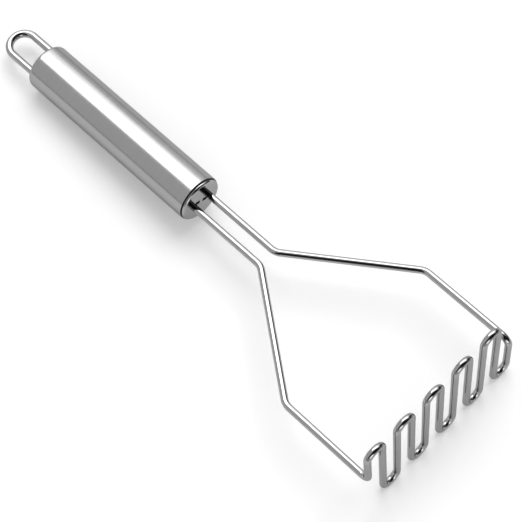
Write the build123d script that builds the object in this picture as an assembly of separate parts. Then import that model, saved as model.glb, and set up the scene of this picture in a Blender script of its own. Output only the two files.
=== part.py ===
from build123d import *
import math
import os

# Potato masher: a steel handle tube with a hanging loop at its rear, and one long bent wire whose middle
# is the upright wave that mashes. Lengths are in millimetres. The tool is drawn along X, from the loop to
# the wave, with the tube's mouth at zero, and is then laid down on its rear edge and the wave's feet.

# Handle tube
handle_diameter = 25.0
handle_length = 113.3
tube_wall = 0.8
mouth_edge_radius = 0.2

# Bent wire and its bends, as centre lines
wire_diameter = 3.6
stem_spacing = 9.9
stem_length = 48.4
splay_length = 59.1
arm_length = 52.8
arm_bend_radius = 8.0
head_corner_radius = 4.7
wire_grip_depth = 50.0

# Mashing wave, as centre lines
head_span = 94.5
head_height = 58.0
wave_count = 5

# Rear cap, with the corner that shows and the spigot in the tube
rear_corner_radius = 2.0
rear_land_length = 4.0
rear_plate_thickness = 1.0
rear_spigot_length = 6.0
rear_spigot_wall = 0.9

# Hanging loop and what holds it
loop_wire_diameter = 4.0
loop_leg_spacing = 14.8
loop_reach = 25.2
loop_backing_thickness = 1.5
loop_end_stand = 2.0

# Front cap, with the black seal between its flange and the tube's mouth
mouth_seal_diameter = 24.2
mouth_seal_thickness = 0.8
flange_diameter = 23.9
flange_thickness = 1.15
flange_edge_radius = 1.1
front_plate_thickness = 1.0
front_spigot_length = 8.0
front_spigot_wall = 0.8

# The front cap's two slits, on one line through its middle that passes below one wire and above the other
slit_gap = 1.9
slit_length = 2.9
slit_width = 2.2
slit_offset = 1.8

# Inner seal, core and end plate inside the mouth. The seal's ribs fill a share of the slits' depth.
seal_thickness = 3.0
seal_rib_share = 0.25
end_plate_thickness = 2.0
wire_end_stand = 7.4

# Welds and clearances
weld_leg = 1.0
spigot_clearance = 0.05
wire_clearance = 0.05
weld_clearance = 0.02
core_clearance = 0.1
slit_clearance = 0.05

# Sizes that follow from the ones above
handle_radius = handle_diameter / 2
bore_radius = handle_radius - tube_wall
wire_radius = wire_diameter / 2
loop_wire_radius = loop_wire_diameter / 2
spigot_radius = bore_radius - spigot_clearance
rear_face = -handle_length
rear_seam = rear_face + rear_land_length
rear_inner_face = rear_face + rear_plate_thickness
rear_spigot_bore = spigot_radius - rear_spigot_wall
loop_backing_face = rear_inner_face + loop_backing_thickness
flange_radius = flange_diameter / 2
cap_front = mouth_seal_thickness + flange_thickness
front_inner_face = cap_front - front_plate_thickness
front_spigot_bore = spigot_radius - front_spigot_wall
seal_back = front_inner_face - seal_thickness
wire_end = -wire_grip_depth
end_plate_back = wire_end + wire_end_stand
core_back = end_plate_back + end_plate_thickness
core_length = seal_back - core_back
first_bend = stem_length
second_bend = stem_length + splay_length
head_plane = second_bend + arm_length
leg_pitch = head_span / (2 * wave_count)
half_span = head_span / 2
half_height = head_height / 2
bend_centre_height = half_height - leg_pitch / 2
slit_turn = math.atan2(slit_offset, stem_spacing / 2)
wire_places = [-stem_spacing / 2, stem_spacing / 2]
loop_places = [-loop_leg_spacing / 2, loop_leg_spacing / 2]

# The rest: the tool pitches up until the rear corner and the wave's feet touch one level
rear_corner_height = rear_corner_radius - handle_radius
rest_run = head_plane - (rear_face + rear_corner_radius)
rest_drop = half_height + rear_corner_height
rest_reach = math.hypot(rest_run, rest_drop)
rest_pitch = math.atan2(rest_drop, rest_run) - math.asin((rear_corner_radius - wire_radius) / rest_reach)


def turned(profile, rounded=()):
    """A half profile of (x, radius) points turned about X, with the named corners rounded first."""
    face = make_face(Polyline(*profile, close=True)).face()
    for corner, radius in rounded:
        face = face.fillet_2d(radius, [face.vertices().sort_by_distance(corner)[0]])
    return revolve(face, Axis.X)


def rod(start, length, radius, y=0.0):
    """A round rod along X from the place start, beside the axis by y."""
    return Plane(origin=(start, y, 0), z_dir=(1, 0, 0)) * extrude(Circle(radius), length)


def disc(front, thickness, radius, hole_radius, places):
    """A flat disc across the axis, its front face at the place front, with a row of round holes."""
    solid = rod(front - thickness, thickness, radius)
    for y in places:
        solid -= rod(front - thickness, thickness, hole_radius, y)
    return solid


def bent_wire(path, radius):
    """A round wire along a path of lines and arcs."""
    return sweep(Plane(origin=path @ 0, z_dir=path % 0) * Circle(radius), path=path)


def handle_tube():
    """The straight tube, its mouth's outer edge eased."""
    profile = [
        (rear_seam, bore_radius),
        (0, bore_radius),
        (0, handle_radius),
        (rear_seam, handle_radius),
    ]
    return turned(profile, [((0, handle_radius), mouth_edge_radius)])


def rear_cap():
    """The drawn cap that closes the rear, flush with the tube, with the loop's two holes."""
    profile = [
        (rear_face, 0),
        (rear_face, handle_radius),
        (rear_seam, handle_radius),
        (rear_seam, spigot_radius),
        (rear_seam + rear_spigot_length, spigot_radius),
        (rear_seam + rear_spigot_length, rear_spigot_bore),
        (rear_inner_face, rear_spigot_bore),
        (rear_inner_face, 0),
    ]
    cap = turned(profile, [((rear_face, handle_radius), rear_corner_radius)])
    for y in loop_places:
        cap -= rod(rear_face, rear_plate_thickness, loop_wire_radius + wire_clearance, y)
    return cap


def hanging_loop():
    """The loop: two straight legs through the rear cap, joined by a half turn."""
    leg_end = loop_backing_face + loop_end_stand
    turn_centre = rear_face - loop_reach + loop_leg_spacing / 2
    left, right = loop_places
    path = Wire(
        [
            Line((leg_end, left, 0), (turn_centre, left, 0)).edge(),
            ThreePointArc((turn_centre, left, 0), (rear_face - loop_reach, 0, 0), (turn_centre, right, 0)).edge(),
            Line((turn_centre, right, 0), (leg_end, right, 0)).edge(),
        ]
    )
    return bent_wire(path, loop_wire_radius)


def loop_backing_plate():
    """The plate behind the rear cap that the loop's legs are welded to."""
    radius = rear_spigot_bore - spigot_clearance
    return disc(loop_backing_face, loop_backing_thickness, radius, loop_wire_radius + wire_clearance, loop_places)


def weld_rings(face, side, radius, places):
    """Fillet welds round rods of the given radius, standing on a face, on its side towards -X or +X."""
    inner = radius + weld_clearance
    outer = inner + weld_leg
    top = face + side * weld_leg
    ring = revolve(make_face(Polyline((face, inner), (face, outer), (top, inner), close=True)), Axis.X)
    return Compound([Pos(0, y, 0) * ring for y in places])


def mouth_seal():
    """The thin black ring that the front cap's flange presses against the tube's mouth."""
    inner = spigot_radius + spigot_clearance
    outer = mouth_seal_diameter / 2
    return rod(0, mouth_seal_thickness, outer) - rod(0, mouth_seal_thickness, inner)


def front_cap():
    """The polished cap in the mouth: a domed flange, a spigot, two holes for the wire's ends and two slits."""
    profile = [
        (cap_front, 0),
        (cap_front, flange_radius),
        (mouth_seal_thickness, flange_radius),
        (mouth_seal_thickness, spigot_radius),
        (-front_spigot_length, spigot_radius),
        (-front_spigot_length, front_spigot_bore),
        (front_inner_face, front_spigot_bore),
        (front_inner_face, 0),
    ]
    cap = turned(profile, [((cap_front, flange_radius), flange_edge_radius)])
    for y in wire_places:
        cap -= rod(front_inner_face, front_plate_thickness, wire_radius + wire_clearance, y)
    for side in (-1, 1):
        cap -= slit_block(side, front_plate_thickness, 0)
    return cap


def slit_block(side, depth, margin):
    """The block of one of the front cap's slits, from its inner face outwards, smaller by a margin all round."""
    block = Box(depth, slit_length - 2 * margin, slit_width - 2 * margin)
    middle = side * (slit_gap + slit_length) / 2
    return Rot(-math.degrees(slit_turn), 0, 0) * Pos(front_inner_face + depth / 2, middle, 0) * block


def cap_seal():
    """The soft seal behind the front cap, with a low rib in the foot of each slit."""
    seal = rod(seal_back, seal_thickness, front_spigot_bore - spigot_clearance)
    for side in (-1, 1):
        seal += slit_block(side, front_plate_thickness * seal_rib_share, slit_clearance)
    for y in wire_places:
        seal -= rod(seal_back, seal_thickness + front_plate_thickness, wire_radius + wire_clearance, y)
    return seal


def wire_core():
    """The moulded core that fills the mouth behind the seal and guides both ends of the wire."""
    shoulder = -front_spigot_length - core_clearance
    profile = [
        (seal_back, 0),
        (seal_back, front_spigot_bore - core_clearance),
        (shoulder, front_spigot_bore - core_clearance),
        (shoulder, bore_radius - core_clearance),
        (core_back, bore_radius - core_clearance),
        (core_back, 0),
    ]
    core = turned(profile)
    for y in wire_places:
        core -= rod(core_back, core_length, wire_radius + wire_clearance, y)
    return core


def wire_end_plate():
    """The steel plate behind the core that both ends of the wire are welded to."""
    radius = bore_radius - core_clearance
    return disc(core_back, end_plate_thickness, radius, wire_radius + wire_clearance, wire_places)


def masher_wire():
    """The one wire: a stem, a splayed arm and an outer arm on each side, and the upright wave between."""
    left = -half_span
    arm = FilletPolyline(
        (wire_end, -stem_spacing / 2, 0),
        (first_bend, -stem_spacing / 2, 0),
        (second_bend, left, 0),
        (head_plane, left, 0),
        (head_plane, left, bend_centre_height),
        radius=[arm_bend_radius, arm_bend_radius, head_corner_radius],
    )
    edges = list(arm.edges())
    for bend in range(2 * wave_count):
        side = 1 if bend % 2 == 0 else -1
        near = left + bend * leg_pitch
        far = near + leg_pitch
        level = side * bend_centre_height
        crown = (head_plane, near + leg_pitch / 2, side * half_height)
        edges.append(ThreePointArc((head_plane, near, level), crown, (head_plane, far, level)).edge())
        if bend < 2 * wave_count - 1:
            edges.append(Line((head_plane, far, level), (head_plane, far, -level)).edge())
    edges += arm.rotate(Axis.X, 180).edges()
    return bent_wire(Wire(edges), wire_radius)


pieces = {
    "handle_tube": handle_tube(),
    "rear_cap": rear_cap(),
    "hanging_loop": hanging_loop(),
    "loop_backing_plate": loop_backing_plate(),
    "loop_welds": weld_rings(loop_backing_face, 1, loop_wire_radius, loop_places),
    "mouth_seal": mouth_seal(),
    "front_cap": front_cap(),
    "cap_seal": cap_seal(),
    "wire_core": wire_core(),
    "wire_end_plate": wire_end_plate(),
    "wire_end_welds": weld_rings(end_plate_back, -1, wire_radius, wire_places),
    "masher_wire": masher_wire(),
}

# The tool on its rest, with the origin under the middle of its length and width
pitched = Rot(0, -math.degrees(rest_pitch), 0)
corners = Compound([pitched * piece for piece in pieces.values()]).bounding_box()
lay_down = Pos(-(corners.min.X + corners.max.X) / 2, 0, -corners.min.Z) * pitched

os.makedirs("parts", exist_ok=True)
for name, piece in pieces.items():
    export_step(lay_down * piece, f"parts/{name}.step")
    print(name, "solids", len(piece.solids()), "volume", round(piece.volume, 2))
wire_length = pieces["masher_wire"].volume / (math.pi * wire_radius**2)
print("wire length", round(wire_length, 2), "pitch in degrees", round(math.degrees(rest_pitch), 4))
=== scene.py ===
import math

import bmesh
import bpy
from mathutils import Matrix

# Potato masher lying on a white table, under one softbox high behind it. Metres, in the frame of the
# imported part.
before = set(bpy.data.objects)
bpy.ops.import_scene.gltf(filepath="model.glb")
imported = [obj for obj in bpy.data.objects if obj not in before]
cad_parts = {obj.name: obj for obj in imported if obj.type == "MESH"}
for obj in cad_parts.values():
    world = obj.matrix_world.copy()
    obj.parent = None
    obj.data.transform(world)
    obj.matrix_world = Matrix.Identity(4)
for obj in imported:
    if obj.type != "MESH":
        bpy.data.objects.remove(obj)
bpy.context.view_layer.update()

# Where the picture was taken from
CAMERA_PLACE = (0.289858, -0.231596, 0.804082)
CAMERA_TURN = (0.412606, 0.022547, 0.788418)
LENS_MM = 122.42
SENSOR_MM = 36.0
NEAREST_SEEN = 0.01

# The handle leans up towards the wave by this much, so its brushing leans too
HANDLE_PITCH = math.radians(3.85)

# How far a pattern is squeezed along x, y and z: the same all ways, as rings round the handle, as rolling
# lines along the plates, and as flow marks along the core
ALL_WAYS = (1, 1, 1)
ROUND_THE_HANDLE = (60, 1, 1)
ALONG_THE_PLATE = (1, 30, 1)
ALONG_THE_CORE = (1, 4, 4)

# How fine the patterns are, in waves per metre: clouds of handling marks, and lines as fine as a hair
CLOUDS = 60.0
HAIRLINES = 900.0


def grey(value):
    return (value, value, value, 1)


# The darkest and the lightest colour of each finish, as reflected shares
SATIN_TONES = (grey(0.3552), grey(0.3848))
POLISHED_TONES = (grey(0.3686), grey(0.3914))
PLATE_TONES = ((0.30, 0.29, 0.28, 1), (0.44, 0.44, 0.44, 1))
WELD_TONES = ((0.24, 0.25, 0.33, 1), (0.46, 0.38, 0.26, 1))
# The seals' rubber is near black, partly as painted shade for the dark groove round the tube mouth and the
# dark slits in the front cap
SEAL_RUBBER_AND_SHADE_TONES = (grey(0.006), grey(0.015))
CORE_TONES = ((0.27, 0.27, 0.28, 1), (0.33, 0.33, 0.34, 1))

# Towards its edges the steel mirrors this share of what plain steel would
EDGE_GREY = 0.6

# How much of the satin steel's pattern is brushing, the rest being clouds
BRUSHING_SHARE = 0.65

# How rough the wire gets where it is set down, and how high that reaches
FOOT_WEAR = 0.10
FOOT_WEAR_HEIGHT = 0.005

# The table, white round the masher and greyer further off. Its own faint glow lifts it to white for the
# camera, and a share of that glow shows in the steel.
TABLE_RADIUS = 6.0
TABLE_SIDES = 96
TABLE_WHITE = 0.93
TABLE_FAR = 0.30
TABLE_LIFT = 0.10
MIRRORED_SHARE = 0.7
FADE_START = 0.21
FADE_END = 0.50

# What lights the table, and anything matt: an even sky and one soft lamp, in shares of full white.
# Azimuths here and below turn from +X towards +Y.
SKY_LIGHT = 0.66
SKY_RADIUS = 5.0
SKY_FINENESS = 3
LAMP_LIGHT = 0.485
LAMP_AZIMUTH = math.radians(114)
LAMP_HEIGHT = math.radians(66)
LAMP_SPREAD = math.radians(40)

# The studio that the steel mirrors, in shares of full white. The softbox hangs towards its azimuth over a
# bright wall. The dark side of the room lies between two edges, with a black flag beside it and a small
# reflector low in front of it.
SOFTBOX_AZIMUTH = math.radians(150)
SOFTBOX_LIGHT = 4.0
WALL_LIGHT = 0.8
ROOM_GREY = 0.74
DARK_GREY = 0.02
DARK_RIGHT_AZIMUTH = math.radians(21.8)
DARK_LEFT_AZIMUTH = math.radians(-35)
FLAG_AZIMUTH = math.radians(77)
FLAG_GREY = 0.08
REFLECTOR_AZIMUTH = math.radians(-26)
REFLECTOR_HEIGHT = math.radians(11)
REFLECTOR_LIGHT = 1.8

# Where each form of the studio begins and where it is full, as cosines from an axis. "away" points from
# the softbox, "across" points to its right, and "up" points at the ceiling.
SOFTBOX_FRONT_AWAY = (-0.29, -0.35)
SOFTBOX_BACK_AWAY = (-0.88, -0.45)
SOFTBOX_LEFT_ACROSS = (-0.45, -0.33)
SOFTBOX_RIGHT_ACROSS = (0.80, 0.45)
WALL_FRONT_AWAY = (-0.30, -0.50)
WALL_LEFT_ACROSS = (-0.42, -0.36)
WALL_RIGHT_ACROSS = (0.44, 0.36)
WALL_FOOT_UP = (0.03, 0.12)
DARK_RIGHT = (-0.14, -0.04)
DARK_FRONT = (-0.04, 0.08)
DARK_LEFT = (-0.25, 0.05)
DARK_FAR_AWAY = (0.92, 0.80)
DARK_FOOT_UP = (0.0, 0.2)
FLAG_EDGE = (0.82, 0.90)
REFLECTOR_EDGE = (0.94, 0.975)


def shader(material):
    """The node tree and the surface shader of a fresh material."""
    material.use_nodes = True
    tree = material.node_tree
    return tree, tree.nodes["Principled BSDF"]


def node(tree, kind, **settings):
    made = tree.nodes.new(kind)
    for name, value in settings.items():
        setattr(made, name, value)
    return made


def placed(tree, squeeze=ALL_WAYS, pitch=0.0):
    """Object coordinates, first turned down by a pitch, then squeezed so that a pattern runs one way."""
    place = node(tree, "ShaderNodeTexCoord")
    mapping = node(tree, "ShaderNodeMapping", vector_type="TEXTURE")
    mapping.inputs["Rotation"].default_value = (0, -pitch, 0)
    mapping.inputs["Scale"].default_value = [1 / share for share in squeeze]
    tree.links.new(place.outputs["Object"], mapping.inputs["Vector"])
    return mapping.outputs["Vector"]


def noise(tree, where, scale, detail=3.0):
    made = node(tree, "ShaderNodeTexNoise")
    made.inputs["Scale"].default_value = scale
    made.inputs["Detail"].default_value = detail
    tree.links.new(where, made.inputs["Vector"])
    return made.outputs["Fac"]


def ranged(tree, value, low=0.0, high=1.0, start=0.3, stop=0.7):
    """A value brought from one range to another. Noise lies mostly between 0.3 and 0.7."""
    made = node(tree, "ShaderNodeMapRange")
    made.inputs["From Min"].default_value = start
    made.inputs["From Max"].default_value = stop
    made.inputs["To Min"].default_value = low
    made.inputs["To Max"].default_value = high
    tree.links.new(value, made.inputs["Value"])
    return made.outputs["Result"]


def sums(tree, operation, a, b):
    """Two values joined by one operation. The second may be a plain number."""
    made = node(tree, "ShaderNodeMath", operation=operation)
    tree.links.new(a, made.inputs[0])
    if isinstance(b, float):
        made.inputs[1].default_value = b
    else:
        tree.links.new(b, made.inputs[1])
    return made.outputs["Value"]


def times(tree, *values):
    """The product of any number of values. All but the first may be plain numbers."""
    result = values[0]
    for other in values[1:]:
        result = sums(tree, "MULTIPLY", result, other)
    return result


def tones(tree, bsdf, value, dark, light):
    """The shader's colour, between two greys or colours, by a value from 0 to 1."""
    mix = node(tree, "ShaderNodeMix", data_type="RGBA")
    mix.inputs["A"].default_value = dark
    mix.inputs["B"].default_value = light
    tree.links.new(value, mix.inputs["Factor"])
    tree.links.new(mix.outputs["Result"], bsdf.inputs["Base Color"])


def relief(tree, bsdf, height, strength, depth):
    made = node(tree, "ShaderNodeBump")
    made.inputs["Strength"].default_value = strength
    made.inputs["Distance"].default_value = depth
    tree.links.new(height, made.inputs["Height"])
    tree.links.new(made.outputs["Normal"], bsdf.inputs["Normal"])


def new_steel(name):
    material = bpy.data.materials.new(name)
    tree, bsdf = shader(material)
    bsdf.inputs["Metallic"].default_value = 1.0
    bsdf.inputs["Specular Tint"].default_value = grey(EDGE_GREY)
    return material, tree, bsdf


def satin_steel():
    """The handle's steel, brushed round and round, with faint cloudy handling marks."""
    material, tree, bsdf = new_steel("satin_steel")
    brushing = noise(tree, placed(tree, ROUND_THE_HANDLE, HANDLE_PITCH), scale=40.0, detail=4.0)
    clouds = noise(tree, placed(tree), scale=CLOUDS, detail=4.0)
    both = sums(tree, "ADD", times(tree, brushing, BRUSHING_SHARE), times(tree, clouds, 1 - BRUSHING_SHARE))
    tree.links.new(ranged(tree, both, low=0.15, high=0.24), bsdf.inputs["Roughness"])
    tones(tree, bsdf, ranged(tree, both), *SATIN_TONES)
    relief(tree, bsdf, brushing, strength=0.25, depth=0.00002)
    return material


def polished_steel():
    """The wire's, the loop's and the front cap's steel, polished bright, and scuffed where it is set down."""
    material, tree, bsdf = new_steel("polished_steel")
    hairlines = noise(tree, placed(tree), scale=HAIRLINES)
    clouds = noise(tree, placed(tree), scale=CLOUDS, detail=4.0)
    place = node(tree, "ShaderNodeSeparateXYZ")
    tree.links.new(placed(tree), place.inputs["Vector"])
    wear = ranged(tree, place.outputs["Z"], low=FOOT_WEAR, high=0.0, start=0.0, stop=FOOT_WEAR_HEIGHT)
    scuffs = times(tree, wear, ranged(tree, hairlines, start=0.4, stop=0.6))
    gloss = ranged(tree, clouds, low=0.035, high=0.075)
    tree.links.new(sums(tree, "ADD", gloss, scuffs), bsdf.inputs["Roughness"])
    tones(tree, bsdf, ranged(tree, clouds), *POLISHED_TONES)
    relief(tree, bsdf, hairlines, strength=0.2, depth=0.000002)
    return material


def plain_steel():
    """The rolled steel of the two plates inside, dull, with rolling lines and stains."""
    material, tree, bsdf = new_steel("plain_steel")
    rolling = noise(tree, placed(tree, ALONG_THE_PLATE), scale=60.0, detail=4.0)
    stains = noise(tree, placed(tree), scale=180.0, detail=5.0)
    tree.links.new(ranged(tree, rolling, low=0.35, high=0.55), bsdf.inputs["Roughness"])
    tones(tree, bsdf, ranged(tree, stains), *PLATE_TONES)
    relief(tree, bsdf, rolling, strength=0.3, depth=0.00003)
    return material


def weld_bead():
    """The welds inside, rippled and tinted straw and blue by their heat."""
    material, tree, bsdf = new_steel("weld_bead")
    ripples = noise(tree, placed(tree), scale=1400.0, detail=2.0)
    heat = noise(tree, placed(tree), scale=250.0, detail=3.0)
    tree.links.new(ranged(tree, ripples, low=0.30, high=0.50), bsdf.inputs["Roughness"])
    tones(tree, bsdf, ranged(tree, heat), *WELD_TONES)
    relief(tree, bsdf, ripples, strength=0.5, depth=0.0001)
    return material


def seal_rubber():
    """The black rubber of both seals, matt, with a fine moulded skin and a little dust. Its near-black, dull
    colour is partly painted shade: it stands in for the dark groove round the tube mouth and the dark inside
    of the front cap's slits.
    """
    material = bpy.data.materials.new("seal_rubber")
    tree, bsdf = shader(material)
    skin = noise(tree, placed(tree), scale=2500.0, detail=3.0)
    dust = noise(tree, placed(tree), scale=300.0, detail=4.0)
    tree.links.new(ranged(tree, skin, low=0.55, high=0.75), bsdf.inputs["Roughness"])
    tones(tree, bsdf, ranged(tree, dust), *SEAL_RUBBER_AND_SHADE_TONES)
    # Little shine, so that the painted shade in the groove and the slits stays black
    bsdf.inputs["Specular IOR Level"].default_value = 0.1
    relief(tree, bsdf, skin, strength=0.4, depth=0.00003)
    return material


def core_plastic():
    """The grey moulded plastic of the core, with a spark-eroded texture and faint flow marks."""
    material = bpy.data.materials.new("core_plastic")
    tree, bsdf = shader(material)
    grain = noise(tree, placed(tree), scale=1800.0, detail=2.0)
    flow = noise(tree, placed(tree, ALONG_THE_CORE), scale=40.0, detail=4.0)
    tree.links.new(ranged(tree, grain, low=0.45, high=0.65), bsdf.inputs["Roughness"])
    tones(tree, bsdf, ranged(tree, flow), *CORE_TONES)
    relief(tree, bsdf, grain, strength=0.3, depth=0.00005)
    return material


def dress(material, *node_names):
    for name in node_names:
        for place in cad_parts[name].material_slots:
            place.material = material


dress(satin_steel(), "handle_tube", "rear_cap")
dress(polished_steel(), "masher_wire", "hanging_loop", "front_cap")
dress(plain_steel(), "loop_backing_plate", "wire_end_plate")
dress(weld_bead(), "loop_welds", "wire_end_welds")
# The seals carry the painted shade of the tube mouth's groove and of the front cap's slits
dress(seal_rubber(), "mouth_seal", "cap_seal")
dress(core_plastic(), "wire_core")


def from_sheet(name, sheet, material):
    """A new object of a finished bmesh and its material, in the scene."""
    mesh = bpy.data.meshes.new(name)
    sheet.to_mesh(mesh)
    sheet.free()
    mesh.materials.append(material)
    made = bpy.data.objects.new(name, mesh)
    bpy.context.scene.collection.objects.link(made)
    return made


def table_paint():
    """Matt white near the masher and greyer far off, with a glow that only the camera and the steel see."""
    material = bpy.data.materials.new("table_paint")
    tree, bsdf = shader(material)
    bsdf.inputs["Roughness"].default_value = 1.0
    bsdf.inputs["Specular IOR Level"].default_value = 0.0
    place = node(tree, "ShaderNodeTexCoord")
    far = node(tree, "ShaderNodeVectorMath", operation="LENGTH")
    tree.links.new(place.outputs["Object"], far.inputs[0])
    near = ranged(tree, far.outputs["Value"], low=1.0, high=0.0, start=FADE_START, stop=FADE_END)
    tones(tree, bsdf, near, grey(TABLE_FAR), grey(TABLE_WHITE))
    path = node(tree, "ShaderNodeLightPath")
    mirrored = sums(tree, "MAXIMUM", path.outputs["Is Glossy Ray"], path.outputs["Is Transmission Ray"])
    seen = sums(tree, "MAXIMUM", path.outputs["Is Camera Ray"], times(tree, mirrored, MIRRORED_SHARE))
    bsdf.inputs["Emission Color"].default_value = grey(1.0)
    tree.links.new(times(tree, seen, near, TABLE_LIFT), bsdf.inputs["Emission Strength"])
    return material


def table():
    """The round table top, level with the masher's feet."""
    sheet = bmesh.new()
    bmesh.ops.create_circle(sheet, cap_ends=True, segments=TABLE_SIDES, radius=TABLE_RADIUS)
    return from_sheet("table", sheet, table_paint())


table()


def sky_glow():
    material = bpy.data.materials.new("sky_glow")
    tree, bsdf = shader(material)
    bsdf.inputs["Base Color"].default_value = grey(0.0)
    bsdf.inputs["Specular IOR Level"].default_value = 0.0
    bsdf.inputs["Emission Color"].default_value = grey(1.0)
    bsdf.inputs["Emission Strength"].default_value = SKY_LIGHT
    return material


def sky():
    """The even white sky over the table, which only matt surfaces see."""
    ball = bmesh.new()
    bmesh.ops.create_icosphere(ball, subdivisions=SKY_FINENESS, radius=SKY_RADIUS)
    cover = from_sheet("sky", ball, sky_glow())
    cover.visible_camera = False
    cover.visible_glossy = False
    cover.visible_transmission = False
    cover.visible_shadow = False
    return cover


def lamp():
    """The soft lamp high behind the masher, which throws its shadow towards the camera."""
    light = bpy.data.lights.new("lamp", "SUN")
    light.energy = LAMP_LIGHT * math.pi
    light.angle = LAMP_SPREAD
    hung = bpy.data.objects.new("lamp", light)
    hung.rotation_euler = (math.pi / 2 - LAMP_HEIGHT, 0, LAMP_AZIMUTH + math.pi / 2)
    hung.visible_glossy = False
    bpy.context.scene.collection.objects.link(hung)


sky()
lamp()


def edge(tree, value, begins_and_is_full):
    """A smooth step from 0, where a form begins, to 1, where it is full."""
    made = node(tree, "ShaderNodeMapRange", interpolation_type="SMOOTHSTEP")
    made.inputs["From Min"].default_value, made.inputs["From Max"].default_value = begins_and_is_full
    tree.links.new(value, made.inputs["Value"])
    return made.outputs["Result"]


def faded(tree, light, mask, target):
    """The light so far, drawn towards a target where the mask is 1."""
    mix = node(tree, "ShaderNodeMix", data_type="FLOAT")
    mix.inputs["B"].default_value = target
    tree.links.new(mask, mix.inputs["Factor"])
    if isinstance(light, float):
        mix.inputs["A"].default_value = light
    else:
        tree.links.new(light, mix.inputs["A"])
    return mix.outputs["Result"]


def aim(azimuth, height=0.0):
    """The unit vector towards an azimuth and a height over the level."""
    level = math.cos(height)
    return (level * math.cos(azimuth), level * math.sin(azimuth), math.sin(height))


def studio():
    """The room that the steel mirrors, as a world that lights nothing matt."""
    world = bpy.data.worlds.new("studio")
    world.use_nodes = True
    tree = world.node_tree
    direction = node(tree, "ShaderNodeTexCoord").outputs["Generated"]

    def along(axis):
        made = node(tree, "ShaderNodeVectorMath", operation="DOT_PRODUCT")
        made.inputs[1].default_value = axis
        tree.links.new(direction, made.inputs[0])
        return made.outputs["Value"]

    away = along(aim(SOFTBOX_AZIMUTH + math.pi))
    across = along(aim(SOFTBOX_AZIMUTH - math.pi / 2))
    up = along((0, 0, 1))
    softbox = times(
        tree,
        edge(tree, away, SOFTBOX_FRONT_AWAY),
        edge(tree, away, SOFTBOX_BACK_AWAY),
        edge(tree, across, SOFTBOX_LEFT_ACROSS),
        edge(tree, across, SOFTBOX_RIGHT_ACROSS),
    )
    wall = times(
        tree,
        edge(tree, away, WALL_FRONT_AWAY),
        edge(tree, across, WALL_LEFT_ACROSS),
        edge(tree, across, WALL_RIGHT_ACROSS),
        edge(tree, up, WALL_FOOT_UP),
    )
    dark_to_right = edge(tree, along(aim(DARK_RIGHT_AZIMUTH)), DARK_RIGHT)
    dark_in_front = edge(tree, along(aim(0.0)), DARK_FRONT)
    dark = times(
        tree,
        sums(tree, "MAXIMUM", dark_to_right, dark_in_front),
        edge(tree, along(aim(DARK_LEFT_AZIMUTH)), DARK_LEFT),
        edge(tree, away, DARK_FAR_AWAY),
        edge(tree, up, DARK_FOOT_UP),
    )
    flag = edge(tree, along(aim(FLAG_AZIMUTH)), FLAG_EDGE)
    reflector = edge(tree, along(aim(REFLECTOR_AZIMUTH, REFLECTOR_HEIGHT)), REFLECTOR_EDGE)

    light = faded(tree, ROOM_GREY, dark, DARK_GREY)
    light = faded(tree, light, flag, FLAG_GREY)
    for form, strength in ((softbox, SOFTBOX_LIGHT), (wall, WALL_LIGHT), (reflector, REFLECTOR_LIGHT)):
        light = sums(tree, "ADD", light, times(tree, form, strength))
    tree.links.new(light, tree.nodes["Background"].inputs["Color"])
    world.cycles_visibility.diffuse = False
    return world


def camera():
    """The camera, where the picture was taken from."""
    data = bpy.data.cameras.new("camera")
    data.lens = LENS_MM
    data.sensor_width = SENSOR_MM
    data.clip_start = NEAREST_SEEN
    held = bpy.data.objects.new("camera", data)
    held.location = CAMERA_PLACE
    held.rotation_euler = CAMERA_TURN
    bpy.context.scene.collection.objects.link(held)
    return held


bpy.context.scene.world = studio()
bpy.context.scene.camera = camera()
bpy.context.scene.view_settings.view_transform = "Standard"
